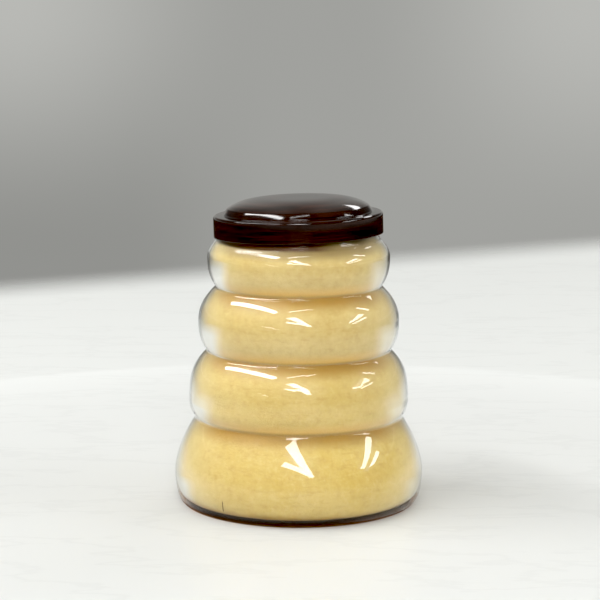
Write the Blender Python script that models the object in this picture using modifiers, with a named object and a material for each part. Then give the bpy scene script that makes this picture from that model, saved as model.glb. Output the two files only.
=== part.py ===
"""A stepped, beehive-shaped clear jar of creamed honey under a domed brown screw cap.

Metres, +Z up. The origin is the middle of the jar's underside, on the surface it stands on.
The jar, the honey in it and the cap are three solids, all turned about the Z axis.
"""

import math
from collections import namedtuple

import bpy

# Heights are above the surface that the jar stands on, radii are from the Z axis.

# The jar's wall is four bulging bands with a sharp crease between each two.
# A band swells out from its upper crease to its crown and draws in again to its lower crease.
# The two powers say how square a flank's shoulder is: 2 is a parabola.
Crease = namedtuple("Crease", "height radius")
Crown = namedtuple("Crown", "height radius power_above power_below")

CREASES = (
    Crease(0.0928, 0.0290),
    Crease(0.0767, 0.0290),
    Crease(0.0541, 0.0322),
    Crease(0.0308, 0.0364),
)
CROWNS = (
    Crown(0.0874, 0.0319, 1.8, 2.6),
    Crown(0.0645, 0.0352, 2.15, 2.6),
    Crown(0.0368, 0.0386, 3.0, 2.2),
    Crown(0.0117, 0.0438, 1.6, 2.3),
)

# The heel is a quarter of a superellipse from the lowest crown down to the standing ring.
STANDING_RADIUS = 0.0395
PUSH_UP_RADIUS = 0.0310
PUSH_UP_HEIGHT = 0.0012

WALL = 0.0014
FLOOR = 0.0028

NECK_RADIUS = 0.0278
NECK_WALL = 0.0016
NECK_TOP = 0.0998
BEAD_RADIUS = 0.0283
BEAD_MIDDLE = 0.0936
BEAD_HALF_HEIGHT = 0.0003

# The cap's own heights are above its rim. It sits a little askew, up on the +X side and in front.
# A ledge runs round a raised panel, whose steep side rolls over into a shallow dome.
CAP_RADIUS = 0.0296
CAP_WALL = 0.0012
CAP_RIM_HEIGHT = 0.0948
CAP_TILT_SIDE = math.radians(1.7)
CAP_TILT_FRONT = math.radians(0.8)
RIM_CHAMFER = 0.0004
LEDGE_HEIGHT = 0.0075
LEDGE_ROUNDING = 0.0010
PANEL_RADIUS = 0.0260
PANEL_EDGE = 0.0024
DOME_RISE = 0.0032
DOME_POWER = 4.9

# The panel's edge, from the dome's end outwards and down: arcs, each between two angles
# in degrees from straight outwards. The middle one is the steep, nearly straight side.
Arc = namedtuple("Arc", "rounding start end")

PANEL_ROLL = (Arc(0.0008, 60, 37), Arc(0.0160, 37, 30), Arc(0.0006, 30, 0))

# The honey is set, and fills the jar up into the neck.
HONEY_TOP = 0.0977
GAP = 0.0003

# How many points the profiles have. The outsides that show are cut finer than the insides.
TURN_STEPS = 48
OUTER_FLANK_POINTS = 4
INNER_FLANK_POINTS = 3
OUTER_HEEL_POINTS = 6
INNER_HEEL_POINTS = 5
OUTER_DOME_POINTS = 6
INNER_DOME_POINTS = 5
ROLL_POINTS = 2
ROUNDING_POINTS = 3
MERGE_DISTANCE = 0.00005

Finish = namedtuple("Finish", "name colour roughness transmission")

CLEAR_PLASTIC = Finish("clear_plastic", (0.95, 0.96, 0.94), 0.04, 1)
CREAMED_HONEY = Finish("creamed_honey", (0.75, 0.55, 0.26), 0.45, 0)
BROWN_PLASTIC = Finish("brown_plastic", (0.05, 0.018, 0.010), 0.18, 0)


def flank(crown, crease, power, count, inset):
    """Points from a crown towards a crease: radius, height."""
    points = []
    for i in range(count):
        u = i / count
        swell = (crown.radius - crease.radius) * (1 - u**power)
        height = crown.height + (crease.height - crown.height) * u
        points.append((crease.radius + swell - inset, height))
    return points


def heel(radius, height, foot_radius, foot_height, count):
    """A superellipse quarter from the lowest crown down to the foot."""
    power = CROWNS[-1].power_below
    points = []
    for i in range(count + 1):
        angle = 0.5 * math.pi * i / count
        out = math.cos(angle) ** (2 / power)
        down = math.sin(angle) ** (2 / power)
        points.append(
            (
                foot_radius + (radius - foot_radius) * out,
                height - (height - foot_height) * down,
            )
        )
    return points


def bands(count, inset):
    """The banded wall from its top crease down to just above the lowest crown."""
    points = []
    for i, crown in enumerate(CROWNS):
        upper = flank(crown, CREASES[i], crown.power_above, count, inset)
        points.append((CREASES[i].radius - inset, CREASES[i].height))
        points.extend(reversed(upper))
        if i + 1 < len(CREASES):
            points.extend(flank(crown, CREASES[i + 1], crown.power_below, count, inset)[1:])
    return points[:-1]


def inner_wall(inset):
    """The inside of the banded wall, top to bottom, down to the middle of the floor."""
    crown = CROWNS[-1]
    side = bands(INNER_FLANK_POINTS, WALL + inset)
    foot = heel(
        crown.radius - WALL - inset,
        crown.height,
        STANDING_RADIUS - 2 * WALL - inset,
        FLOOR + inset,
        INNER_HEEL_POINTS,
    )
    return side + foot + [(0, FLOOR + inset)]


def jar_profile():
    """Inside from the floor up, over the mouth, and down the outside to the underside."""
    mouth_radius = NECK_RADIUS - NECK_WALL
    inside = [(mouth_radius, NECK_TOP)] + inner_wall(0)
    outside = [
        (NECK_RADIUS, NECK_TOP),
        (NECK_RADIUS, BEAD_MIDDLE + 2 * BEAD_HALF_HEIGHT),
        (BEAD_RADIUS, BEAD_MIDDLE + BEAD_HALF_HEIGHT),
        (BEAD_RADIUS, BEAD_MIDDLE - BEAD_HALF_HEIGHT),
        (NECK_RADIUS, CREASES[0].height),
    ]
    crown = CROWNS[-1]
    outside += bands(OUTER_FLANK_POINTS, 0)
    outside += heel(crown.radius, crown.height, STANDING_RADIUS, 0, OUTER_HEEL_POINTS)
    outside += [(PUSH_UP_RADIUS, 0), (PUSH_UP_RADIUS - WALL, PUSH_UP_HEIGHT), (0, PUSH_UP_HEIGHT)]
    return inside[::-1] + outside


def honey_profile():
    """The set honey, from the middle of its top down to the middle of its foot."""
    radius = NECK_RADIUS - NECK_WALL - GAP
    return [(0, HONEY_TOP), (radius, HONEY_TOP)] + inner_wall(GAP)


def turn_corner(start_point, arc, count):
    """Points round an arc that starts at a point: radius, height."""
    radius, height = start_point
    points = []
    for i in range(count + 1):
        angle = math.radians(arc.start + (arc.end - arc.start) * i / count)
        across = math.cos(angle) - math.cos(math.radians(arc.start))
        up = math.sin(angle) - math.sin(math.radians(arc.start))
        points.append((radius + arc.rounding * across, height + arc.rounding * up))
    return points


def roll():
    """The panel's edge, from the end of the dome down to the foot of its last arc."""
    points = [(0, 0)]
    for arc in PANEL_ROLL:
        points += turn_corner(points[-1], arc, ROLL_POINTS)[1:]
    outwards = PANEL_RADIUS - points[-1][0]
    upwards = LEDGE_HEIGHT + PANEL_EDGE
    return [(radius + outwards, height + upwards) for radius, height in points]


def dome(scale, drop, count):
    """The dome from its middle out to where the panel's edge starts to roll over."""
    end_radius, end_height = roll()[0]
    points = []
    for i in range(count + 1):
        share = i / count
        height = end_height + DOME_RISE * (1 - share**DOME_POWER) - drop
        points.append((end_radius * scale * share, height))
    return points


def cap_profile():
    """Down the outside of the cap to its rim, and up its inside to the middle."""
    inner = CAP_RADIUS - CAP_WALL
    ledge_edge = Arc(LEDGE_ROUNDING, 90, 0)
    outside = dome(1, 0, OUTER_DOME_POINTS) + roll()[1:] + [(PANEL_RADIUS, LEDGE_HEIGHT)]
    outside += turn_corner((CAP_RADIUS - LEDGE_ROUNDING, LEDGE_HEIGHT), ledge_edge, ROUNDING_POINTS)
    rim = [
        (CAP_RADIUS, RIM_CHAMFER),
        (CAP_RADIUS - RIM_CHAMFER, 0),
        (inner + RIM_CHAMFER, 0),
        (inner, RIM_CHAMFER),
    ]
    under_ledge = [
        (inner, LEDGE_HEIGHT - CAP_WALL),
        (PANEL_RADIUS - CAP_WALL, LEDGE_HEIGHT - CAP_WALL),
    ]
    under_dome = dome(1 - CAP_WALL / PANEL_RADIUS, CAP_WALL, INNER_DOME_POINTS)
    return outside + rim + under_ledge + under_dome[::-1]


def material(finish):
    """A Principled material in the part's own colour."""
    made = bpy.data.materials.new(finish.name)
    made.use_nodes = True
    shader = made.node_tree.nodes["Principled BSDF"]
    shader.inputs["Base Color"].default_value = (*finish.colour, 1)
    shader.inputs["Roughness"].default_value = finish.roughness
    shader.inputs["Metallic"].default_value = 0
    shader.inputs["Transmission Weight"].default_value = finish.transmission
    made.diffuse_color = (*finish.colour, 1)
    return made


def turned(name, profile, collection, finish):
    """One named solid: a profile at +X, turned about Z."""
    mesh = bpy.data.meshes.new(name)
    edges = [(i, i + 1) for i in range(len(profile) - 1)]
    mesh.from_pydata([(radius, 0, height) for radius, height in profile], edges, [])
    mesh.materials.append(material(finish))
    solid = bpy.data.objects.new(name, mesh)
    collection.objects.link(solid)
    screw = solid.modifiers.new("Turn", "SCREW")
    screw.axis = "Z"
    screw.angle = 2 * math.pi
    screw.steps = TURN_STEPS
    screw.render_steps = TURN_STEPS
    screw.use_merge_vertices = True
    screw.merge_threshold = MERGE_DISTANCE
    screw.use_smooth_shade = True
    return solid


def main():
    for old in list(bpy.data.objects):
        bpy.data.objects.remove(old, do_unlink=True)
    collection = bpy.data.collections.new("honey_jar")
    bpy.context.scene.collection.children.link(collection)

    turned("jar", jar_profile(), collection, CLEAR_PLASTIC)
    turned("honey", honey_profile(), collection, CREAMED_HONEY)
    cap = turned("cap", cap_profile(), collection, BROWN_PLASTIC)
    cap.location = (0, 0, CAP_RIM_HEIGHT)
    cap.rotation_euler = (-CAP_TILT_FRONT, -CAP_TILT_SIDE, 0)


main()
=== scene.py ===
"""The looks of a stepped clear jar of creamed honey under a domed brown screw cap.

Metres, +Z up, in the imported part's own frame. The file is laid out as an add-on and run as a script.
"""

import math
from collections import namedtuple

import bpy
from bpy.props import FloatProperty, FloatVectorProperty, IntProperty, PointerProperty
from mathutils import Euler, Matrix, Vector


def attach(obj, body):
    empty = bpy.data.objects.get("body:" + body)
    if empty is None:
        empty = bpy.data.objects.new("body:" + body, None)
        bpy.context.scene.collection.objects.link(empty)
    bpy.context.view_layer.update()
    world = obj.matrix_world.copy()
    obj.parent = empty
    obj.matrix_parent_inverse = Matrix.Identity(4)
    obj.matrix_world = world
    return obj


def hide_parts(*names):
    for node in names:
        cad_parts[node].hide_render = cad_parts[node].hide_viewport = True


bl_info = {
    "name": "Honey Jar",
    "version": (1, 0, 0),
    "blender": (4, 5, 0),
    "location": "View3D > Sidebar > Honey Jar",
    "description": "Dresses a stepped jar of creamed honey, piece by piece",
    "category": "Object",
}

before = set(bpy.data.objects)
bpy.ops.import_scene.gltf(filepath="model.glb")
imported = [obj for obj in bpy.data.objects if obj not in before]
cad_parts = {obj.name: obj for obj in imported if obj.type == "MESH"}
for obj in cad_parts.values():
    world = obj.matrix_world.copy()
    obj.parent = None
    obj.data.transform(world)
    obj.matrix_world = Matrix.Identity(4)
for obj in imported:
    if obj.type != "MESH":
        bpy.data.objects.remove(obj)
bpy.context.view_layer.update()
BODY = "root"

# The jar's wall is four bulging bands with a crease above each, all turned about the Z axis.
# The two powers say how square a flank's shoulder is: 2 is a parabola.
Crease = namedtuple("Crease", "height radius")
Crown = namedtuple("Crown", "height radius power_above power_below")

CREASES = (
    Crease(0.0928, 0.0290),
    Crease(0.0767, 0.0290),
    Crease(0.0541, 0.0322),
    Crease(0.0308, 0.0364),
)
CROWNS = (
    Crown(0.0874, 0.0319, 1.8, 2.6),
    Crown(0.0645, 0.0352, 2.15, 2.6),
    Crown(0.0368, 0.0386, 3.0, 2.2),
    Crown(0.0117, 0.0438, 1.6, 2.3),
)
STANDING_RADIUS = 0.0395
PUSH_UP_RADIUS = 0.0310
PUSH_UP_HEIGHT = 0.0012
FLOOR = 0.0024

# The blown wall is thick in the narrow bands and thin in the wide lowest one.
THICK_WALL = 0.0011
THIN_WALL = 0.0007
THICK_ABOVE = 0.0310
THIN_BELOW = 0.0200
NECK_RADIUS = 0.0278
NECK_WALL = 0.0016
NECK_TOP = 0.0998
BEAD_RADIUS = 0.0283
BEAD_MIDDLE = 0.0936
BEAD_HALF_HEIGHT = 0.0003
HONEY_TOP = 0.0977

# The mould's parting line shows just above the foot, at two places half a turn apart.
PARTING = math.radians(-36.4)
PARTING_HEIGHTS = (0.0040, 0.0082)
PARTING_FADE = 0.0006

# The blown wall wanders a little everywhere, and ripples on the third band's shoulder.
WAVE_SCALE = 55.0
RIPPLE_SCALE = 300.0
WAVE_SEED = 4.0
UNEVEN_SPAN = (-0.004, 0.027)
UNEVEN_SIDE_FADE = 0.005
UNEVEN_HEIGHTS = (0.0445, 0.0540)
UNEVEN_FOOT_FADE = 0.0025
UNEVEN_TOP_FADE = 0.0015

# The cap's own heights are above its rim. It sits askew, up on the +X side and in front.
CAP_RADIUS = 0.0296
CAP_WALL = 0.0012
CAP_RIM_HEIGHT = 0.0948
CAP_TILT = (math.radians(-0.8), math.radians(-1.7), 0)
RIM_ROUNDING = 0.0002
LEDGE_HEIGHT = 0.0075
LEDGE_FILLET = 0.0002
PANEL_RADIUS = 0.0260
PANEL_EDGE = 0.0024
DOME_RISE = 0.0032
DOME_POWER = 4.9

# A rounded corner of the cap's profile: its radius, and its two angles in degrees from straight out.
# The panel's edge is three of them, from the dome's end down. The middle one is its steep side.
Corner = namedtuple("Corner", "radius start end")

PANEL_ROLL = (Corner(0.0008, 60, 37), Corner(0.0160, 37, 30), Corner(0.0006, 30, 0))
LEDGE_EDGE = Corner(0.0010, 90, 0)

# How finely the turned pieces are cut.
WALL_STEP = 0.0005
INNER_STEP = 0.0010
HEEL_POINTS = 24
ROUNDING_POINTS = 6
DOME_POINTS = 28
CREASE_SAMPLES = 4
MERGE_DISTANCE = 0.000004


class JarSettings(bpy.types.PropertyGroup):
    """The clear jar."""

    turn_steps: IntProperty(
        name="Turn steps", description="Facets round each turned piece", default=240, min=24
    )
    crease_rounding: FloatProperty(
        name="Crease rounding",
        description="Height over which each crease is rounded off",
        default=0.0004,
        unit="LENGTH",
    )
    waviness: FloatProperty(
        name="Waviness",
        description="How far the blown wall wanders from a true round",
        default=0.00012,
        unit="LENGTH",
    )
    ripple: FloatProperty(
        name="Ripple",
        description="Height of the ripples on the third band's shoulder",
        default=0.00014,
        unit="LENGTH",
    )
    tint: FloatVectorProperty(
        name="Tint", description="Colour of the clear wall", subtype="COLOR", default=(0.97, 0.975, 0.97)
    )
    # Painted dark reflection: greys the clear wall where it is seen edge-on, on its upper shoulders and
    # beside the upper crowns at the right.
    edge_dark_reflection: FloatVectorProperty(
        name="Edge tint",
        description="Colour of the clear wall where it is seen edge-on",
        subtype="COLOR",
        default=(0.20, 0.20, 0.185),
    )
    # Painted shade: dark red-brown shade laid on the clear foot under the honey, up to the foot height.
    foot_shade: FloatVectorProperty(
        name="Foot tint",
        description="Colour of the thick foot under the honey",
        subtype="COLOR",
        default=(0.31, 0.115, 0.035),
    )
    foot_height: FloatProperty(
        name="Foot height", description="Height of the dark foot", default=0.0024, unit="LENGTH"
    )


class HoneySettings(bpy.types.PropertyGroup):
    """The creamed honey."""

    reach: FloatProperty(
        name="Reach",
        description="How far the honey reaches into the wall",
        default=0.0001,
        unit="LENGTH",
    )
    cream: FloatVectorProperty(
        name="Cream", description="Colour of the set honey", subtype="COLOR", default=(0.49, 0.365, 0.135)
    )
    # Amber of the honey's streaks and mottling, also used as the painted shade under each crease and at the
    # bottom.
    amber_and_shade: FloatVectorProperty(
        name="Amber",
        description="Colour of the clearer honey under each crease",
        subtype="COLOR",
        default=(0.30, 0.165, 0.028),
    )
    # Golden colour towards the bottom of the jar, laid on more at the right as painted shade of the side the
    # lamps light less.
    golden_and_side_shade: FloatVectorProperty(
        name="Golden",
        description="Colour of the set honey low in the jar",
        subtype="COLOR",
        default=(0.51, 0.365, 0.085),
    )
    # Painted light: warm light laid on the honey just above each crease.
    warm_light: FloatVectorProperty(
        name="Glow",
        description="Colour of the honey just above each crease",
        subtype="COLOR",
        default=(0.68, 0.44, 0.13),
    )
    shade: FloatVectorProperty(
        name="Shade",
        description="Colour of the honey just under the neck",
        subtype="COLOR",
        default=(0.23, 0.165, 0.068),
    )
    # Painted sheen: pales the honey towards its outline, standing in for the clear wall's reflection of the
    # room.
    flank: FloatVectorProperty(
        name="Flank",
        description="Colour of the set honey through the thicker clear wall of the flanks",
        subtype="COLOR",
        default=(0.74, 0.64, 0.36),
    )
    # Darker honey in the neck together with the cap's painted shadow, strongest in the middle.
    syrup_and_cap_shadow: FloatVectorProperty(
        name="Syrup",
        description="Colour of the dark honey in the neck",
        subtype="COLOR",
        default=(0.09, 0.030, 0.010),
    )
    pale: FloatVectorProperty(
        name="Pale", description="Colour of the crystals", subtype="COLOR", default=(0.62, 0.50, 0.23)
    )


class CapSettings(bpy.types.PropertyGroup):
    """The brown cap."""

    brown: FloatVectorProperty(
        name="Brown", description="Main colour of the cap", subtype="COLOR", default=(0.013, 0.0062, 0.0048)
    )
    russet: FloatVectorProperty(
        name="Russet",
        description="Warmer streaks in the cap",
        subtype="COLOR",
        default=(0.046, 0.018, 0.012),
    )


class StageSettings(bpy.types.PropertyGroup):
    """The table, the wall behind it and the ceiling lights."""

    table: FloatVectorProperty(
        name="Table", description="Colour of the table", subtype="COLOR", default=(0.755, 0.765, 0.75)
    )
    wall: FloatVectorProperty(
        name="Wall", description="Colour of the room", subtype="COLOR", default=(0.380, 0.382, 0.365)
    )
    lamp_strength: FloatProperty(
        name="Lamp strength", description="Radiance of the ceiling strips", default=11.0
    )


class Value:
    """An output of a node. Python's operators on it add Math nodes."""

    def __init__(self, tree, socket):
        self.tree = tree
        self.socket = socket

    def output(self, name):
        """Another output of the same node."""
        return Value(self.tree, self.socket.node.outputs[name])

    def maths(self, operation, *operands):
        return self.tree.add("ShaderNodeMath", {"operation": operation}, dict(enumerate(operands)))

    def __add__(self, other):
        return self.maths("ADD", self, other)

    __radd__ = __add__

    def __sub__(self, other):
        return self.maths("SUBTRACT", self, other)

    def __rsub__(self, other):
        return self.maths("SUBTRACT", other, self)

    def __mul__(self, other):
        return self.maths("MULTIPLY", self, other)

    __rmul__ = __mul__

    def __truediv__(self, other):
        return self.maths("DIVIDE", self, other)

    def __pow__(self, other):
        return self.maths("POWER", self, other)

    def floor(self):
        return self.maths("FLOOR", self)


class Tree:
    """Adds nodes to one node tree."""

    def __init__(self, nodes):
        self.nodes = nodes

    def add(self, kind, settings=None, values=None, output=0):
        """A new node: its settings first, then the values or links of its sockets."""
        node = self.nodes.nodes.new(kind)
        for name, setting in (settings or {}).items():
            setattr(node, name, setting)
        for socket, value in (values or {}).items():
            self.feed(node.inputs[socket], value)
        return Value(self, node.outputs[output]) if node.outputs else node

    def feed(self, socket, value):
        if isinstance(value, Value):
            self.nodes.links.new(value.socket, socket)
        else:
            socket.default_value = value

    def colour_mix(self, factor, first, second, blend="MIX"):
        """Two colours mixed by a factor."""
        settings = {"data_type": "RGBA", "blend_type": blend}
        return self.add("ShaderNodeMix", settings, {0: factor, 6: first, 7: second}, output=2)

    def rise(self, value, low, high):
        """0 below low, 1 above high and smooth between."""
        settings = {"interpolation_type": "SMOOTHSTEP"}
        return self.add("ShaderNodeMapRange", settings, {"Value": value, "From Min": low, "From Max": high})

    def noise(self, place, scale, detail=2.0, roughness=0.5):
        values = {"Vector": place, "Scale": scale, "Detail": detail, "Roughness": roughness}
        return self.add("ShaderNodeTexNoise", {}, values)


def rgba(colour):
    return (*colour, 1)


def new_material(name):
    """A material with an empty tree, and that tree."""
    material = bpy.data.materials.new(name)
    material.use_nodes = True
    material.node_tree.nodes.clear()
    return material, Tree(material.node_tree)


def finish_material(tree, shader):
    tree.add("ShaderNodeOutputMaterial", {}, {"Surface": shader})


def sharp_radius(height):
    """The banded wall's radius at a height, with its creases still sharp."""
    for i, crown in enumerate(CROWNS):
        if height >= crown.height:
            crease = CREASES[i]
            power = crown.power_above
        elif i + 1 < len(CREASES) and height >= CREASES[i + 1].height:
            crease = CREASES[i + 1]
            power = crown.power_below
        else:
            continue
        u = min(1, (height - crown.height) / (crease.height - crown.height))
        return crease.radius + (crown.radius - crease.radius) * (1 - u**power)
    return CROWNS[-1].radius


def wall_radius(height, rounding):
    """The banded wall's radius at a height, averaged over the rounding of its creases."""
    reach = [rounding * i / CREASE_SAMPLES for i in range(-CREASE_SAMPLES, CREASE_SAMPLES + 1)]
    return sum(sharp_radius(height + step) for step in reach) / len(reach)


def wall_thickness(height):
    """How thick the wall is at a height."""
    share = (height - THIN_BELOW) / (THICK_ABOVE - THIN_BELOW)
    share = min(1, max(0, share))
    return THIN_WALL + (THICK_WALL - THIN_WALL) * share * share * (3 - 2 * share)


def bands(rounding, step):
    """The outside of the banded wall from its top crease down to its lowest crown."""
    top = CREASES[0].height
    drop = top - CROWNS[-1].height
    count = round(drop / step)
    heights = [top - drop * i / count for i in range(count)]
    return [(wall_radius(height, rounding), height) for height in heights]


def heel(radius, foot_radius, foot_height):
    """A superellipse quarter from the lowest crown down to the foot."""
    crown = CROWNS[-1]
    power = crown.power_below
    points = []
    for i in range(HEEL_POINTS + 1):
        angle = 0.5 * math.pi * i / HEEL_POINTS
        out = math.cos(angle) ** (2 / power)
        down = math.sin(angle) ** (2 / power)
        across = foot_radius + (radius - foot_radius) * out
        points.append((across, crown.height - (crown.height - foot_height) * down))
    return points


def inside(reach, rounding, step):
    """The inside of the banded wall, moved out by a reach, down to the middle of its floor."""
    side = [(radius - wall_thickness(height) + reach, height) for radius, height in bands(rounding, step)]
    inset = THIN_WALL - reach
    floor = FLOOR - reach
    return side + heel(CROWNS[-1].radius - inset, STANDING_RADIUS - inset, floor) + [(0, floor)]


def jar_profile(rounding):
    """Inside from the floor up, over the mouth, and down the outside to the underside."""
    mouth_radius = NECK_RADIUS - NECK_WALL
    lip = NECK_WALL / 4
    outside = [
        (NECK_RADIUS - lip, NECK_TOP),
        (NECK_RADIUS, NECK_TOP - lip),
        (NECK_RADIUS, BEAD_MIDDLE + 2 * BEAD_HALF_HEIGHT),
        (BEAD_RADIUS, BEAD_MIDDLE + BEAD_HALF_HEIGHT),
        (BEAD_RADIUS, BEAD_MIDDLE - BEAD_HALF_HEIGHT),
        (NECK_RADIUS, CREASES[0].height + BEAD_HALF_HEIGHT / 2),
    ]
    outside += bands(rounding, WALL_STEP)
    outside += heel(CROWNS[-1].radius, STANDING_RADIUS, 0)
    outside += [(PUSH_UP_RADIUS, 0), (PUSH_UP_RADIUS - PUSH_UP_HEIGHT, PUSH_UP_HEIGHT), (0, PUSH_UP_HEIGHT)]
    mouth = [(mouth_radius + lip, NECK_TOP), (mouth_radius, NECK_TOP - lip)]
    return (mouth + inside(0, rounding, INNER_STEP))[::-1] + outside


def honey_profile(rounding, reach):
    """The set honey, from the middle of its top down to the middle of its foot."""
    radius = NECK_RADIUS - NECK_WALL + reach
    return [(0, HONEY_TOP), (radius, HONEY_TOP)] + inside(reach, rounding, WALL_STEP)


def turn_corner(point, corner):
    """Points round a corner that starts at a point: radius, height."""
    first = math.radians(corner.start)
    points = []
    for i in range(ROUNDING_POINTS + 1):
        angle = first + math.radians(corner.end - corner.start) * i / ROUNDING_POINTS
        across = point[0] + corner.radius * (math.cos(angle) - math.cos(first))
        points.append((across, point[1] + corner.radius * (math.sin(angle) - math.sin(first))))
    return points


def roll():
    """The edge of the cap's panel, from the end of the dome down to the panel's side."""
    points = [(0, LEDGE_HEIGHT + PANEL_EDGE)]
    for corner in PANEL_ROLL:
        points += turn_corner(points[-1], corner)[1:]
    outward = PANEL_RADIUS - points[-1][0]
    return [(radius + outward, height) for radius, height in points]


def dome(scale, drop):
    """The dome from its middle out to where the panel's edge starts to roll over."""
    end_radius, end_height = roll()[0]
    points = []
    for i in range(DOME_POINTS + 1):
        share = i / DOME_POINTS
        height = end_height + DOME_RISE * (1 - share**DOME_POWER) - drop
        points.append((end_radius * scale * share, height))
    return points


def cap_profile():
    """Down the outside of the cap to its rim, and up its inside to the middle."""
    inner = CAP_RADIUS - CAP_WALL
    fillet = Corner(LEDGE_FILLET, 180, 270)
    outside = dome(1, 0) + roll()[1:] + turn_corner((PANEL_RADIUS, LEDGE_HEIGHT + LEDGE_FILLET), fillet)
    outside += turn_corner((CAP_RADIUS - LEDGE_EDGE.radius, LEDGE_HEIGHT), LEDGE_EDGE)
    outside += turn_corner((CAP_RADIUS, RIM_ROUNDING), Corner(RIM_ROUNDING, 0, -90))
    under = [
        (inner + RIM_ROUNDING, 0),
        (inner, RIM_ROUNDING),
        (inner, LEDGE_HEIGHT - CAP_WALL),
        (PANEL_RADIUS - CAP_WALL, LEDGE_HEIGHT - CAP_WALL),
    ]
    return outside + under + dome(1 - CAP_WALL / PANEL_RADIUS, CAP_WALL)[::-1]


def uneven(apart, height):
    """1 where the blown wall ripples, right of the middle, in front and at the back alike."""
    rise = apart.tree.rise
    left, right = UNEVEN_SPAN
    foot, top = UNEVEN_HEIGHTS
    sides = rise(apart, left, left + UNEVEN_SIDE_FADE) * (1 - rise(apart, right - UNEVEN_SIDE_FADE, right))
    sides = sides * rise(height, foot, foot + UNEVEN_FOOT_FADE)
    return sides * (1 - rise(height, top - UNEVEN_TOP_FADE, top))


def turning_tree():
    """A tree that turns a profile, a chain of points at +X, about Z, and the keys of its inputs."""
    group = bpy.data.node_groups.new("turned_piece", "GeometryNodeTree")
    group.interface.new_socket(name="Turned", in_out="OUTPUT", socket_type="NodeSocketGeometry")
    kinds = {
        "Profile": "NodeSocketGeometry",
        "Steps": "NodeSocketInt",
        "Waviness": "NodeSocketFloat",
        "Wave scale": "NodeSocketFloat",
        "Ripple": "NodeSocketFloat",
        "Ripple scale": "NodeSocketFloat",
        "Seed": "NodeSocketFloat",
        "Merge distance": "NodeSocketFloat",
        "Finish": "NodeSocketMaterial",
    }
    keys = {}
    for name, kind in kinds.items():
        socket = group.interface.new_socket(name=name, in_out="INPUT", socket_type=kind)
        keys[name] = socket.identifier
    tree = Tree(group)
    given = tree.add("NodeGroupInput")
    profile = given.output("Profile")
    steps = given.output("Steps")
    count = tree.add("GeometryNodeAttributeDomainSize", {}, {"Geometry": profile})
    grid = tree.add("GeometryNodeMeshGrid", {}, {"Vertices X": steps + 1, "Vertices Y": count})
    index = tree.add("GeometryNodeInputIndex")
    column = (index / count).floor()
    row = index - column * count
    position = tree.add("GeometryNodeInputPosition")
    settings = {"data_type": "FLOAT_VECTOR"}
    values = {"Geometry": profile, "Value": position, "Index": row}
    point = tree.add("GeometryNodeSampleIndex", settings, values)
    angle = column / steps * (2 * math.pi)
    values = {"Vector": point, "Angle": angle}
    turned = tree.add("ShaderNodeVectorRotate", {"rotation_type": "Z_AXIS"}, values)
    shape = tree.add("GeometryNodeSetPosition", {}, {"Geometry": grid, "Position": turned})
    values = {"Geometry": shape, "Distance": given.output("Merge distance")}
    shape = tree.add("GeometryNodeMergeByDistance", {}, values)
    shape = tree.add("GeometryNodeFlipFaces", {}, {"Mesh": shape})
    values = {"W": given.output("Seed"), "Scale": given.output("Wave scale"), "Detail": 1.0}
    noise = tree.add("ShaderNodeTexNoise", {"noise_dimensions": "4D"}, values)
    apart = tree.add("ShaderNodeSeparateXYZ", {}, {"Vector": position}, output="X")
    height = apart.output("Z")
    offset = (noise - 0.5) * given.output("Waviness") * 2 * tree.rise(height, 0.001, 0.006)
    values = {"W": given.output("Seed"), "Scale": given.output("Ripple scale"), "Detail": 0.0}
    noise = tree.add("ShaderNodeTexNoise", {"noise_dimensions": "4D"}, values)
    offset = offset + (noise - 0.5) * given.output("Ripple") * 2 * uneven(apart, height)
    normal = tree.add("GeometryNodeInputNormal")
    values = {0: normal, "Scale": offset}
    push = tree.add("ShaderNodeVectorMath", {"operation": "SCALE"}, values)
    shape = tree.add("GeometryNodeSetPosition", {}, {"Geometry": shape, "Offset": push})
    shape = tree.add("GeometryNodeSetShadeSmooth", {}, {"Geometry": shape})
    shape = tree.add("GeometryNodeRealizeInstances", {}, {"Geometry": shape})
    values = {"Geometry": shape, "Material": given.output("Finish")}
    shape = tree.add("GeometryNodeSetMaterial", {}, values)
    tree.add("NodeGroupOutput", {}, {"Turned": shape})
    return group, keys


def turned_piece(name, profile, inputs):
    """A profile turned into one plain mesh object by the turning tree."""
    mesh = bpy.data.meshes.new(name)
    edges = [(i, i + 1) for i in range(len(profile) - 1)]
    mesh.from_pydata([(radius, 0, height) for radius, height in profile], edges, [])
    piece = bpy.data.objects.new(name, mesh)
    bpy.context.collection.objects.link(piece)
    group, keys = turning_tree()
    modifier = piece.modifiers.new("Turn", "NODES")
    modifier.node_group = group
    for label, value in inputs.items():
        modifier[keys[label]] = value
    graph = bpy.context.evaluated_depsgraph_get()
    result = bpy.data.meshes.new_from_object(piece.evaluated_get(graph), depsgraph=graph)
    piece.modifiers.clear()
    piece.data = result
    bpy.data.meshes.remove(mesh)
    if len(result.polygons) < len(profile):
        raise RuntimeError(f"{name} came out with no faces")
    return piece


def place_in_frame(piece, node):
    """Rides a finished piece on the body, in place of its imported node."""
    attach(piece, BODY)
    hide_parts(node)


def edge_on(tree):
    """How far a surface is turned edge-on, how far if it stood upright, and how far it faces up."""
    facing = tree.add("ShaderNodeLayerWeight", {}, {"Blend": 0.5}, output="Facing")
    normal = tree.add("ShaderNodeNewGeometry", {}, {}, output="Normal")
    upward = tree.add("ShaderNodeSeparateXYZ", {}, {"Vector": normal}, output="Z")
    level = 1 - (1 - facing) / (1 - upward * upward) ** 0.5
    return facing, level, upward


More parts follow.
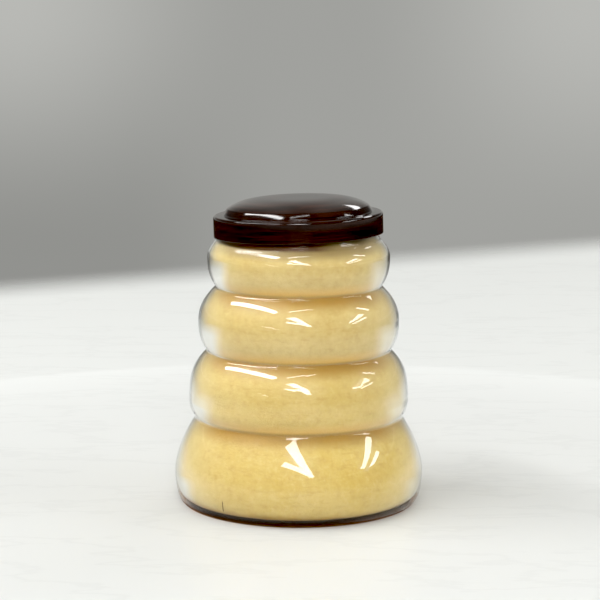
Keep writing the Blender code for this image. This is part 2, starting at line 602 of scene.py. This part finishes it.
def clear_finish(settings):
    """The jar's clear wall, which lets light straight through to the honey."""
    material, tree = new_material("clear_wall")
    place = tree.add("ShaderNodeTexCoord", {}, {}, output="Object")
    height = tree.add("ShaderNodeSeparateXYZ", {}, {"Vector": place}, output="Z")
    apart = tree.add("ShaderNodeSeparateXYZ", {}, {"Vector": place}, output="X")
    ripple = tree.noise(place, 260.0, 1.0)
    bump = tree.add("ShaderNodeBump", {}, {"Strength": 0.06, "Distance": 0.0002, "Height": ripple})
    # Painted shade: the clear foot is tinted dark up to a depth that is lower towards the right.
    foot_shade_depth = (1 - tree.rise(apart, 0.0, 0.03) * 0.45) * settings.foot_height
    foot = 1 - tree.rise(height / foot_shade_depth, 0.6, 1.3)
    # Painted dark reflection: the wall is greyed along its outline, on its upper shoulders and beside the
    # upper crowns at the right.
    facing, level, upward = edge_on(tree)
    lower = 1 - tree.rise(upward, -0.15, 0.05)
    shoulder = tree.rise(level, 0.6, 0.85) * (1 - lower) * 0.5
    outline = tree.rise(facing, 0.84, 0.96) * (1 - lower * tree.rise(apart, 0.0, 0.02) * 0.8)
    edge = shoulder.maths("MAXIMUM", shoulder, outline)
    for crown in CROWNS[:-1]:
        away = (height - crown.height).maths("ABSOLUTE", height - crown.height)
        crown_dark_reflection = (1 - tree.rise(away, 0.0006, 0.0018)) * tree.rise(level, 0.65, 0.8)
        crown_dark_reflection = crown_dark_reflection * tree.rise(apart, 0.015, 0.025)
        edge = edge.maths("MAXIMUM", edge, crown_dark_reflection)
    colour = tree.colour_mix(edge, rgba(settings.tint), rgba(settings.edge_dark_reflection))
    colour = tree.colour_mix(foot, colour, rgba(settings.foot_shade))
    values = {0: place, 1: (math.cos(PARTING), math.sin(PARTING), 0)}
    seam = tree.add("ShaderNodeVectorMath", {"operation": "DOT_PRODUCT"}, values, output="Value")
    seam = 1 - tree.rise(seam.maths("ABSOLUTE", seam), 0.00010, 0.00030)
    foot_end, top_end = PARTING_HEIGHTS
    seam = seam * tree.rise(height, foot_end, foot_end + PARTING_FADE)
    seam = seam * (1 - tree.rise(height, top_end - PARTING_FADE, top_end))
    colour = tree.colour_mix(seam, colour, (0.02, 0.01, 0.005, 1))
    dull = tree.rise(height, 0.0886, 0.0896) * (1 - tree.rise(apart, -0.014, -0.010))
    haze = tree.noise(place, 900.0, 3.0)
    values = {
        "Base Color": colour,
        "Roughness": tree.rise(haze, 0.45, 0.8) * 0.04 + 0.015,
        "IOR": 1.01,
        "Transmission Weight": 1.0,
        "Coat Weight": (1 - foot * 0.85) * (1 - dull * 0.9),
        "Coat Roughness": 0.015,
        "Coat IOR": 1.5,
        "Normal": bump,
    }
    wall = tree.add("ShaderNodeBsdfPrincipled", {}, values)
    passing = tree.add("ShaderNodeBsdfTransparent", {}, {"Color": (0.97, 0.97, 0.965, 1)})
    shadow = tree.add("ShaderNodeLightPath", {}, {}, output="Is Shadow Ray")
    finish_material(tree, tree.add("ShaderNodeMixShader", {}, {0: shadow, 1: wall, 2: passing}))
    return material


def crease_shade(tree, height):
    """1 at each lower crease, fading out slowly below it and at once above it."""
    shade = 0
    for crease in CREASES[1:]:
        below = tree.rise(height, crease.height - 0.0060, crease.height - 0.0008)
        shade = shade + below * (1 - tree.rise(height, crease.height - 0.0002, crease.height + 0.0012))
    return shade


def crease_warm_light(tree, height):
    """1 just above each lower crease, fading out above."""
    warm_light = 0
    for crease in CREASES[1:]:
        above = 1 - tree.rise(height, crease.height + 0.0010, crease.height + 0.0050)
        warm_light = warm_light + above * tree.rise(height, crease.height - 0.0002, crease.height + 0.0010)
    return warm_light


def honey_finish(settings):
    """Set honey: mottled with pale crystals, painted shade under each crease and light above it, dark in the
    neck.
    """
    material, tree = new_material("creamed_honey")
    place = tree.add("ShaderNodeTexCoord", {}, {}, output="Object")
    height = tree.add("ShaderNodeSeparateXYZ", {}, {"Vector": place}, output="Z")
    values = {"Vector": place, "Scale": (1.0, 1.0, 6.0)}
    layered = tree.add("ShaderNodeMapping", {}, values)
    cloud = tree.noise(place, 70.0, 4.0, 0.6)
    streak = tree.noise(layered, 120.0, 4.0, 0.65)
    mottle = tree.noise(place, 420.0, 4.0, 0.65)
    grain = tree.noise(place, 1200.0, 3.0, 0.7)
    apart = tree.add("ShaderNodeSeparateXYZ", {}, {"Vector": place}, output="X")
    # Golden towards the bottom, laid on more at the right as painted shade of the side the lamps light less.
    low = (1 - tree.rise(height, 0.020, 0.065)) * (0.3 + tree.rise(apart, -0.035, 0.005) * 0.5)
    colour = tree.colour_mix(low, rgba(settings.cream), rgba(settings.golden_and_side_shade))
    colour = tree.colour_mix(tree.rise(cloud, 0.35, 0.75) * 0.3, colour, rgba(settings.pale))
    colour = tree.colour_mix(tree.rise(streak, 0.5, 0.75) * 0.22, colour, rgba(settings.amber_and_shade))
    colour = tree.colour_mix(tree.rise(mottle, 0.5, 0.72) * 0.3, colour, rgba(settings.pale))
    colour = tree.colour_mix((1 - tree.rise(mottle, 0.3, 0.5)) * 0.2, colour, rgba(settings.amber_and_shade))
    colour = tree.colour_mix(tree.rise(grain, 0.55, 0.75) * 0.35, colour, rgba(settings.pale))
    # Painted light: warm light on the honey just above each crease.
    colour = tree.colour_mix(crease_warm_light(tree, height) * 0.8, colour, rgba(settings.warm_light))
    # Painted shade: amber darkening under each lower crease.
    colour = tree.colour_mix(crease_shade(tree, height) * 0.9, colour, rgba(settings.amber_and_shade))
    # Painted shade of the cap on the top of the highest band.
    top = tree.rise(height, CREASES[0].height - 0.0046, CREASES[0].height - 0.0008)
    colour = tree.colour_mix(top * 0.85, colour, rgba(settings.shade))
    # Painted shade: the honey turns amber just above the floor.
    base = 1 - tree.rise(height, FLOOR, FLOOR + 0.0030)
    colour = tree.colour_mix(base * 0.3, colour, rgba(settings.amber_and_shade))
    facing, level, upward = edge_on(tree)
    # Painted sheen: the honey pales towards its outline.
    colour = tree.colour_mix(tree.rise(level, 0.2, 0.6) * 0.4, colour, rgba(settings.flank))
    # Darker honey in the neck with the cap's painted shadow, strongest in the middle.
    neck = tree.rise(height, CREASES[0].height - 0.0008, CREASES[0].height + 0.0004)
    neck = neck * (1 - tree.rise(apart, 0.004, 0.014) * 0.8)
    neck = neck * (0.4 + tree.rise(apart, -0.030, -0.018) * 0.6)
    colour = tree.colour_mix(neck * 0.9, colour, rgba(settings.syrup_and_cap_shadow))
    bump = tree.add("ShaderNodeBump", {}, {"Strength": 0.35, "Distance": 0.0003, "Height": grain})
    values = {
        "Base Color": colour,
        "Roughness": 0.3 + streak * 0.2,
        "Coat Weight": 0.35,
        "Coat Roughness": 0.05,
        "Specular IOR Level": 0.3,
        "Subsurface Weight": 0.25,
        "Subsurface Radius": (0.0020, 0.0016, 0.0010),
        "Subsurface Scale": 1.0,
        "Normal": bump,
    }
    honey = tree.add("ShaderNodeBsdfPrincipled", {}, values)
    # The wall mirrors the room low on the flanks, most at the left, and a little along its outline.
    lower = 1 - tree.rise(upward, -0.10, 0.12)
    wide = tree.rise(height, 0.018, 0.045) * 0.1
    silver = tree.rise(level + wide + upward * 0.3, 0.44, 0.66) * lower
    silver = silver * (1 - tree.rise(apart, 0.0, 0.02) * 0.45) * 0.9
    silver = silver.maths("MAXIMUM", silver, tree.rise(level, 0.55, 0.90) * 0.75)
    mirror = silvering(tree, tree.rise(facing, 0.84, 0.96))
    finish_material(tree, tree.add("ShaderNodeMixShader", {}, {0: silver, 1: honey, 2: mirror}))
    return material


def silvering(tree, outline):
    """The inside of the clear wall where it mirrors the room, dark along its outline."""
    colour = tree.colour_mix(outline, (0.92, 0.93, 0.92, 1), (0.25, 0.25, 0.23, 1))
    values = {"Base Color": colour, "Metallic": 1.0, "Roughness": 0.3}
    return tree.add("ShaderNodeBsdfPrincipled", {}, values)


def cap_finish(settings):
    """Glossy brown plastic with fine rings round the skirt."""
    material, tree = new_material("brown_cap")
    place = tree.add("ShaderNodeTexCoord", {}, {}, output="Object")
    values = {"Vector": place, "Rotation": CAP_TILT, "Scale": (1.0, 1.0, 0.045)}
    ringed = tree.add("ShaderNodeMapping", {"vector_type": "TEXTURE"}, values)
    rings = tree.noise(ringed, 60.0, 3.0, 0.6)
    cloud = tree.noise(place, 45.0, 3.0, 0.6)
    blend = tree.rise(cloud, 0.4, 0.7) * 0.3 + tree.rise(rings, 0.42, 0.68) * 0.6
    colour = tree.colour_mix(blend, rgba(settings.brown), rgba(settings.russet))
    bump = tree.add("ShaderNodeBump", {}, {"Strength": 0.15, "Distance": 0.0001, "Height": rings})
    values = {
        "Base Color": colour,
        "Roughness": 0.07 + rings * 0.06,
        "Coat Weight": 0.15,
        "Coat Roughness": 0.04,
        "Normal": bump,
    }
    finish_material(tree, tree.add("ShaderNodeBsdfPrincipled", {}, values))
    return material


def turning_inputs(jar, finish):
    """The turning tree's inputs for a true round piece."""
    return {
        "Steps": jar.turn_steps,
        "Waviness": 0.0,
        "Wave scale": WAVE_SCALE,
        "Ripple": 0.0,
        "Ripple scale": RIPPLE_SCALE,
        "Seed": WAVE_SEED,
        "Merge distance": MERGE_DISTANCE,
        "Finish": finish,
    }


def build_jar(scene):
    jar = scene.honey_jar_wall
    inputs = turning_inputs(jar, clear_finish(jar))
    inputs.update({"Waviness": jar.waviness, "Ripple": jar.ripple})
    piece = turned_piece("clear_jar", jar_profile(jar.crease_rounding), inputs)
    place_in_frame(piece, "jar")


def build_honey(scene):
    jar = scene.honey_jar_wall
    honey = scene.honey_jar_honey
    inputs = turning_inputs(jar, honey_finish(honey))
    profile = honey_profile(jar.crease_rounding, honey.reach)
    piece = turned_piece("set_honey", profile, inputs)
    place_in_frame(piece, "honey")


def build_cap(scene):
    inputs = turning_inputs(scene.honey_jar_wall, cap_finish(scene.honey_jar_cap))
    piece = turned_piece("screw_cap", cap_profile(), inputs)
    piece.data.transform(Matrix.LocRotScale((0, 0, CAP_RIM_HEIGHT), Euler(CAP_TILT), None))
    place_in_frame(piece, "cap")


# The photograph's view: how far the camera stands off the point it looks at, and how high.
VIEW_DISTANCE = 0.78
VIEW_ELEVATION = math.radians(9.42)
VIEW_POINT = (0.00047, 0, 0.0715)
BLACK_LEVEL = (0.02, 0.02, 0.02)
SENSOR_WIDTH = 36.0
FOCAL_LENGTH = 133.5

# Lamps on the ceiling, each from one end to the other.
Strip = namedtuple("Strip", "start end width strength")
CEILING = 1.5
STRIPS = (
    Strip((-1.75, 0.75), (-0.62, -0.85), 0.24, 1.7),
    Strip((-0.27, -1.38), (0.85, -3.75), 0.36, 1.25),
    Strip((-0.62, -2.20), (0.55, -3.25), 0.32, 1.25),
    Strip((-0.30, -0.85), (0.30, -0.65), 0.05, 1.0),
    Strip((2.43, -0.08), (3.56, -1.79), 0.42, 1.0),
    Strip((3.42, -0.02), (4.80, -2.10), 0.42, 1.0),
    Strip((1.60, 0.10), (2.36, 0.60), 0.12, 1.0),
    Strip((-3.40, -3.50), (-3.15, -7.00), 0.20, 1.0),
    Strip((0.70, 2.35), (1.62, 1.20), 0.55, 0.6),
)

# A low dark ring round the table, which only reflections show.
RING_RADIUS = 0.25
RING_HEIGHT = 0.095
RING_FOOT = 0.050
RING_STEPS = 72
RING_DARK = (0.050, 0.040, 0.034)
RING_BROWN = (0.26, 0.20, 0.17)
RING_BROWN_SPAN = (-0.053, 0.069)

# The table's far edge: how far back it lies, how softly it fades and how much it slants.
TABLE_BACK = 0.553
TABLE_FADE = 0.05
TABLE_SKEW = 0.51
TABLE_SIZE = 6.0


def table_finish(settings):
    """A pale table with faint veins, whose far edge fades into the room."""
    material, tree = new_material("table")
    place = tree.add("ShaderNodeTexCoord", {}, {}, output="Object")
    across = tree.add("ShaderNodeSeparateXYZ", {}, {"Vector": place}, output="X")
    back = across.output("Y")
    values = {"Vector": place, "Scale": (1.0, 3.0, 1.0), "Rotation": (0, 0, 0.5)}
    stretched = tree.add("ShaderNodeMapping", {}, values)
    vein = tree.noise(stretched, 9.0, 5.0, 0.6)
    line = tree.rise(vein, 0.47, 0.5) * (1 - tree.rise(vein, 0.5, 0.53))
    # Faint veins, and painted shade that dulls the table towards the front, where the lamps light it most.
    dull = tuple(channel * 0.86 for channel in settings.table)
    front_shade = tree.rise(back * -1, -0.35, 0.10)
    colour = tree.colour_mix(line * 0.25 + front_shade * 0.4, rgba(settings.table), rgba(dull))
    values = {"Base Color": colour, "Roughness": 0.45}
    top = tree.add("ShaderNodeBsdfPrincipled", {}, values)
    edge = back - across * TABLE_SKEW
    past = tree.rise(edge, TABLE_BACK - TABLE_FADE, TABLE_BACK + TABLE_FADE)
    clear = tree.add("ShaderNodeBsdfTransparent")
    finish_material(tree, tree.add("ShaderNodeMixShader", {}, {0: past, 1: top, 2: clear}))
    return material


def build_table(settings):
    mesh = bpy.data.meshes.new("table")
    half = TABLE_SIZE / 2
    corners = [(-half, -half, 0), (half, -half, 0), (half, half, 0), (-half, half, 0)]
    mesh.from_pydata(corners, [], [(0, 1, 2, 3)])
    mesh.materials.append(table_finish(settings))
    table = bpy.data.objects.new("table", mesh)
    bpy.context.collection.objects.link(table)


def build_room(settings):
    """The grey room round the table, lighter to the right and above."""
    world = bpy.data.worlds.new("room")
    world.use_nodes = True
    world.node_tree.nodes.clear()
    tree = Tree(world.node_tree)
    way = tree.add("ShaderNodeTexCoord", {}, {}, output="Generated")
    side = tree.add("ShaderNodeSeparateXYZ", {}, {"Vector": way}, output="X")
    rise = tree.rise(side.output("Z"), -0.14, -0.03)
    left = tree.rise(side, 0.0, -0.08)
    outer = tree.rise(side.maths("ABSOLUTE", side), 0.02, 0.13)
    bright = 0.97 + outer * rise * 0.33 - left * (1 - rise) * 0.18
    glossy = tree.add("ShaderNodeLightPath", {}, {}, output="Is Glossy Ray")
    before = 1 - tree.rise(side.output("Y"), 0.05, 0.60)
    beside = tree.rise(side.maths("ABSOLUTE", side), 0.15, 0.45)
    dark = before.maths("MAXIMUM", before, beside)
    bright = bright * (1 - glossy * dark * tree.rise(side.output("Z"), 0.0, 0.2) * 0.75)
    colour = tree.colour_mix(1.0, rgba(settings.wall), bright, "MULTIPLY")
    background = tree.add("ShaderNodeBackground", {}, {"Color": colour, "Strength": 1.0})
    tree.add("ShaderNodeOutputWorld", {}, {"Surface": background})
    bpy.context.scene.world = world


def build_strips(settings):
    """Long lamps on the ceiling, which the camera doesn't see."""
    for strip in STRIPS:
        start = Vector((*strip.start, CEILING))
        end = Vector((*strip.end, CEILING))
        run = end - start
        light = bpy.data.lights.new("strip", "AREA")
        light.shape = "RECTANGLE"
        light.size = run.length
        light.size_y = strip.width
        light.energy = settings.lamp_strength * strip.strength * math.pi * run.length * strip.width
        lamp = bpy.data.objects.new("strip", light)
        lamp.location = (start + end) / 2
        lamp.rotation_euler = (0, 0, math.atan2(run.y, run.x))
        lamp.visible_camera = False
        bpy.context.collection.objects.link(lamp)


def ring_finish(settings):
    """Glows as the table at its foot, dark above it with a brown stretch, and as the wall at its top."""
    material, tree = new_material("ring")
    place = tree.add("ShaderNodeTexCoord", {}, {}, output="Object")
    across = tree.add("ShaderNodeSeparateXYZ", {}, {"Vector": place}, output="X")
    height = across.output("Z")
    start, end = RING_BROWN_SPAN
    brown = tree.rise(across, start - 0.01, start + 0.01) * (1 - tree.rise(across, end - 0.01, end + 0.01))
    dark = tree.colour_mix(brown, rgba(RING_DARK), rgba(RING_BROWN))
    colour = tree.colour_mix(tree.rise(height, 0, RING_FOOT), rgba(settings.table), dark)
    high = tree.rise(height, RING_HEIGHT * 0.88, RING_HEIGHT)
    colour = tree.colour_mix(high, colour, rgba(settings.wall))
    finish_material(tree, tree.add("ShaderNodeEmission", {}, {"Color": colour}))
    return material


def build_ring(settings):
    """A low dark ring round the table that only reflections show."""
    points = []
    for i in range(RING_STEPS + 1):
        angle = 2 * math.pi * i / RING_STEPS
        across = (RING_RADIUS * math.cos(angle), RING_RADIUS * math.sin(angle))
        points += [(*across, 0.0), (*across, RING_HEIGHT)]
    faces = [(i, i + 2, i + 3, i + 1) for i in range(0, 2 * RING_STEPS, 2)]
    mesh = bpy.data.meshes.new("ring")
    mesh.from_pydata(points, [], faces)
    mesh.materials.append(ring_finish(settings))
    ring = bpy.data.objects.new("ring", mesh)
    ring.visible_camera = False
    ring.visible_diffuse = False
    ring.visible_transmission = False
    ring.visible_shadow = False
    bpy.context.collection.objects.link(ring)


def build_camera(scene):
    lens = bpy.data.cameras.new("camera")
    lens.sensor_width = SENSOR_WIDTH
    lens.lens = FOCAL_LENGTH
    camera = bpy.data.objects.new("camera", lens)
    back = Vector((0, -math.cos(VIEW_ELEVATION), math.sin(VIEW_ELEVATION)))
    camera.location = Vector(VIEW_POINT) + back * VIEW_DISTANCE
    camera.rotation_euler = back.to_track_quat("Z", "Y").to_euler()
    bpy.context.collection.objects.link(camera)
    scene.camera = camera


def set_view(settings):
    """Plain colours with slightly deepened blacks."""
    settings.view_transform = "Standard"
    settings.use_curve_mapping = True
    settings.curve_mapping.black_level = BLACK_LEVEL
    settings.curve_mapping.update()


class HONEYJAR_OT_stage(bpy.types.Operator):
    """Adds the table, the room, its lamps and the camera"""

    bl_idname = "honey_jar.stage"
    bl_label = "Stage"

    def execute(self, context):
        settings = context.scene.honey_jar_stage
        build_camera(context.scene)
        build_table(settings)
        build_room(settings)
        build_strips(settings)
        build_ring(settings)
        set_view(context.scene.view_settings)
        return {"FINISHED"}


class HONEYJAR_OT_jar(bpy.types.Operator):
    """Adds the clear jar"""

    bl_idname = "honey_jar.jar"
    bl_label = "Clear jar"

    def execute(self, context):
        build_jar(context.scene)
        return {"FINISHED"}


class HONEYJAR_OT_honey(bpy.types.Operator):
    """Adds the creamed honey"""

    bl_idname = "honey_jar.honey"
    bl_label = "Creamed honey"

    def execute(self, context):
        build_honey(context.scene)
        return {"FINISHED"}


class HONEYJAR_OT_cap(bpy.types.Operator):
    """Adds the brown cap"""

    bl_idname = "honey_jar.cap"
    bl_label = "Brown cap"

    def execute(self, context):
        build_cap(context.scene)
        return {"FINISHED"}


SETTINGS = {
    "honey_jar_wall": JarSettings,
    "honey_jar_honey": HoneySettings,
    "honey_jar_cap": CapSettings,
    "honey_jar_stage": StageSettings,
}
OPERATORS = (HONEYJAR_OT_stage, HONEYJAR_OT_jar, HONEYJAR_OT_honey, HONEYJAR_OT_cap)


class HONEYJAR_PT_sidebar(bpy.types.Panel):
    """Lists the pieces and their settings"""

    bl_idname = "HONEYJAR_PT_sidebar"
    bl_label = "Honey Jar"
    bl_space_type = "VIEW_3D"
    bl_region_type = "UI"
    bl_category = "Honey Jar"

    def draw(self, context):
        for name, group in SETTINGS.items():
            box = self.layout.box()
            for label in group.__annotations__:
                box.prop(getattr(context.scene, name), label)
        for operator in OPERATORS:
            self.layout.operator(operator.bl_idname)


CLASSES = (*SETTINGS.values(), *OPERATORS, HONEYJAR_PT_sidebar)


def register():
    for item in CLASSES:
        bpy.utils.register_class(item)
    for name, group in SETTINGS.items():
        setattr(bpy.types.Scene, name, PointerProperty(type=group))


def unregister():
    for name in SETTINGS:
        delattr(bpy.types.Scene, name)
    for item in reversed(CLASSES):
        bpy.utils.unregister_class(item)


def main():
    register()
    bpy.ops.honey_jar.stage()
    bpy.ops.honey_jar.jar()
    bpy.ops.honey_jar.honey()
    bpy.ops.honey_jar.cap()


if __name__ == "__main__":
    main()
